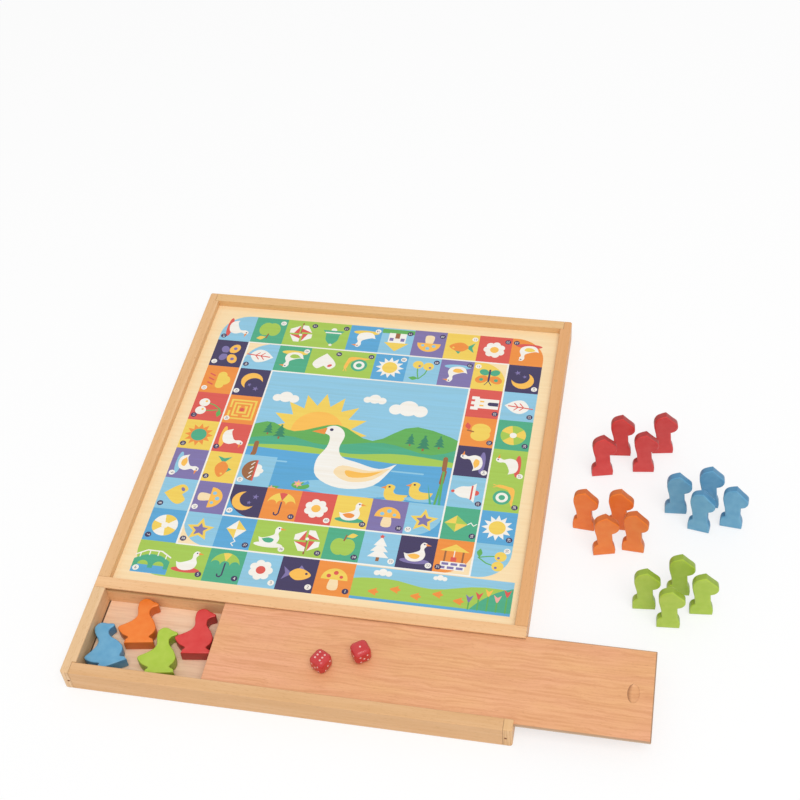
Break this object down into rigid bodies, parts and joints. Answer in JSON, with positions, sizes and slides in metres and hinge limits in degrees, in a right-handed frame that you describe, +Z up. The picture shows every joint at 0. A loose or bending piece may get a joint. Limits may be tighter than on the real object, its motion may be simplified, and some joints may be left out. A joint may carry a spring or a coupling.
{
  "type": "game board",
  "caption": "Flat wooden game board in a rail frame, printed on both faces, with a storage compartment under a sliding lid that holds cut-out playing pieces and dice.",
  "frame": {"origin": "middle of the underside of the middle rail, on the table", "axes": "+X to the right along the rails, the way the lid slides out; +Y towards the back rail, over the printed field; +Z up from the table, the goose side up"},
  "size_m": [0.4176, 0.351, 0.0385],
  "materials": {
    "beech": "fine sanded beech, thin satin lacquer",
    "lid_plywood": "plywood with streaked veneer, sanded smooth",
    "floor_plywood": "raw plywood, pinkish veneer",
    "printed_panel": "plywood printed on both faces, satin varnish",
    "steel": "dull wire brad, only its end shows",
    "red_paint": "wood dipped in red lacquer, satin",
    "blue_paint": "wood dipped in sky-blue lacquer, satin",
    "orange_paint": "wood dipped in orange lacquer, satin",
    "green_paint": "wood dipped in lime-green lacquer, satin",
    "die_red": "red lacquered wood with white pips, glossy"
  },
  "bodies": {
    "board": {"back_rail": "beech", "left_field_rail": "beech", "right_field_rail": "beech", "middle_rail": "beech", "left_end_rail": "beech", "right_end_rail": "beech", "front_rail": "beech", "brad_front_left": "steel", "brad_front_right": "steel", "brad_back_left": "steel", "brad_back_right": "steel", "left_dowel": "beech", "right_dowel": "beech", "board_panel": "printed_panel", "compartment_floor": "floor_plywood"},
    "lid": {"sliding_lid": "lid_plywood"},
    "goose_blue": {"goose_blue": "blue_paint"},
    "goose_orange": {"goose_orange": "orange_paint"},
    "goose_green": {"goose_green": "green_paint"},
    "goose_red": {"goose_red": "red_paint"},
    "horse_red_1": {"horse_red_1": "red_paint"},
    "horse_red_2": {"horse_red_2": "red_paint"},
    "horse_red_3": {"horse_red_3": "red_paint"},
    "horse_red_4": {"horse_red_4": "red_paint"},
    "horse_blue_1": {"horse_blue_1": "blue_paint"},
    "horse_blue_2": {"horse_blue_2": "blue_paint"},
    "horse_blue_3": {"horse_blue_3": "blue_paint"},
    "horse_blue_4": {"horse_blue_4": "blue_paint"},
    "horse_orange_1": {"horse_orange_1": "orange_paint"},
    "horse_orange_2": {"horse_orange_2": "orange_paint"},
    "horse_orange_3": {"horse_orange_3": "orange_paint"},
    "horse_orange_4": {"horse_orange_4": "orange_paint"},
    "horse_green_1": {"horse_green_1": "green_paint"},
    "horse_green_2": {"horse_green_2": "green_paint"},
    "horse_green_3": {"horse_green_3": "green_paint"},
    "horse_green_4": {"horse_green_4": "green_paint"},
    "die_1": {"die_1": "die_red"},
    "die_2": {"die_2": "die_red"}
  },
  "joints": [
    {"name": "lid_slide", "type": "slide", "parent": "board", "child": "lid", "axis": [1, 0, 0], "range_m": [-0.0809, 0.155]},
    {"name": "goose_blue_lift", "type": "slide", "parent": "board", "child": "goose_blue", "axis": [0, 0, 1], "range_m": [0, 0.06]},
    {"name": "goose_orange_lift", "type": "slide", "parent": "board", "child": "goose_orange", "axis": [0, 0, 1], "range_m": [0, 0.06]},
    {"name": "goose_green_lift", "type": "slide", "parent": "board", "child": "goose_green", "axis": [0, 0, 1], "range_m": [0, 0.06]},
    {"name": "goose_red_lift", "type": "slide", "parent": "board", "child": "goose_red", "axis": [0, 0, 1], "range_m": [0, 0.06]},
    {"name": "horse_red_1_lift", "type": "slide", "parent": "board", "child": "horse_red_1", "axis": [0, 0, 1], "range_m": [0, 0.06]},
    {"name": "horse_red_2_lift", "type": "slide", "parent": "board", "child": "horse_red_2", "axis": [0, 0, 1], "range_m": [0, 0.06]},
    {"name": "horse_red_3_lift", "type": "slide", "parent": "board", "child": "horse_red_3", "axis": [0, 0, 1], "range_m": [0, 0.06]},
    {"name": "horse_red_4_lift", "type": "slide", "parent": "board", "child": "horse_red_4", "axis": [0, 0, 1], "range_m": [0, 0.06]},
    {"name": "horse_blue_1_lift", "type": "slide", "parent": "board", "child": "horse_blue_1", "axis": [0, 0, 1], "range_m": [0, 0.06]},
    {"name": "horse_blue_2_lift", "type": "slide", "parent": "board", "child": "horse_blue_2", "axis": [0, 0, 1], "range_m": [0, 0.06]},
    {"name": "horse_blue_3_lift", "type": "slide", "parent": "board", "child": "horse_blue_3", "axis": [0, 0, 1], "range_m": [0, 0.06]},
    {"name": "horse_blue_4_lift", "type": "slide", "parent": "board", "child": "horse_blue_4", "axis": [0, 0, 1], "range_m": [0, 0.06]},
    {"name": "horse_orange_1_lift", "type": "slide", "parent": "board", "child": "horse_orange_1", "axis": [0, 0, 1], "range_m": [0, 0.06]},
    {"name": "horse_orange_2_lift", "type": "slide", "parent": "board", "child": "horse_orange_2", "axis": [0, 0, 1], "range_m": [0, 0.06]},
    {"name": "horse_orange_3_lift", "type": "slide", "parent": "board", "child": "horse_orange_3", "axis": [0, 0, 1], "range_m": [0, 0.06]},
    {"name": "horse_orange_4_lift", "type": "slide", "parent": "board", "child": "horse_orange_4", "axis": [0, 0, 1], "range_m": [0, 0.06]},
    {"name": "horse_green_1_lift", "type": "slide", "parent": "board", "child": "horse_green_1", "axis": [0, 0, 1], "range_m": [0, 0.06]},
    {"name": "horse_green_2_lift", "type": "slide", "parent": "board", "child": "horse_green_2", "axis": [0, 0, 1], "range_m": [0, 0.06]},
    {"name": "horse_green_3_lift", "type": "slide", "parent": "board", "child": "horse_green_3", "axis": [0, 0, 1], "range_m": [0, 0.06]},
    {"name": "horse_green_4_lift", "type": "slide", "parent": "board", "child": "horse_green_4", "axis": [0, 0, 1], "range_m": [0, 0.06]},
    {"name": "die_1_lift", "type": "slide", "parent": "lid", "child": "die_1", "axis": [0, 0, 1], "range_m": [0, 0.04]},
    {"name": "die_2_lift", "type": "slide", "parent": "lid", "child": "die_2", "axis": [0, 0, 1], "range_m": [0, 0.04]}
  ]
}
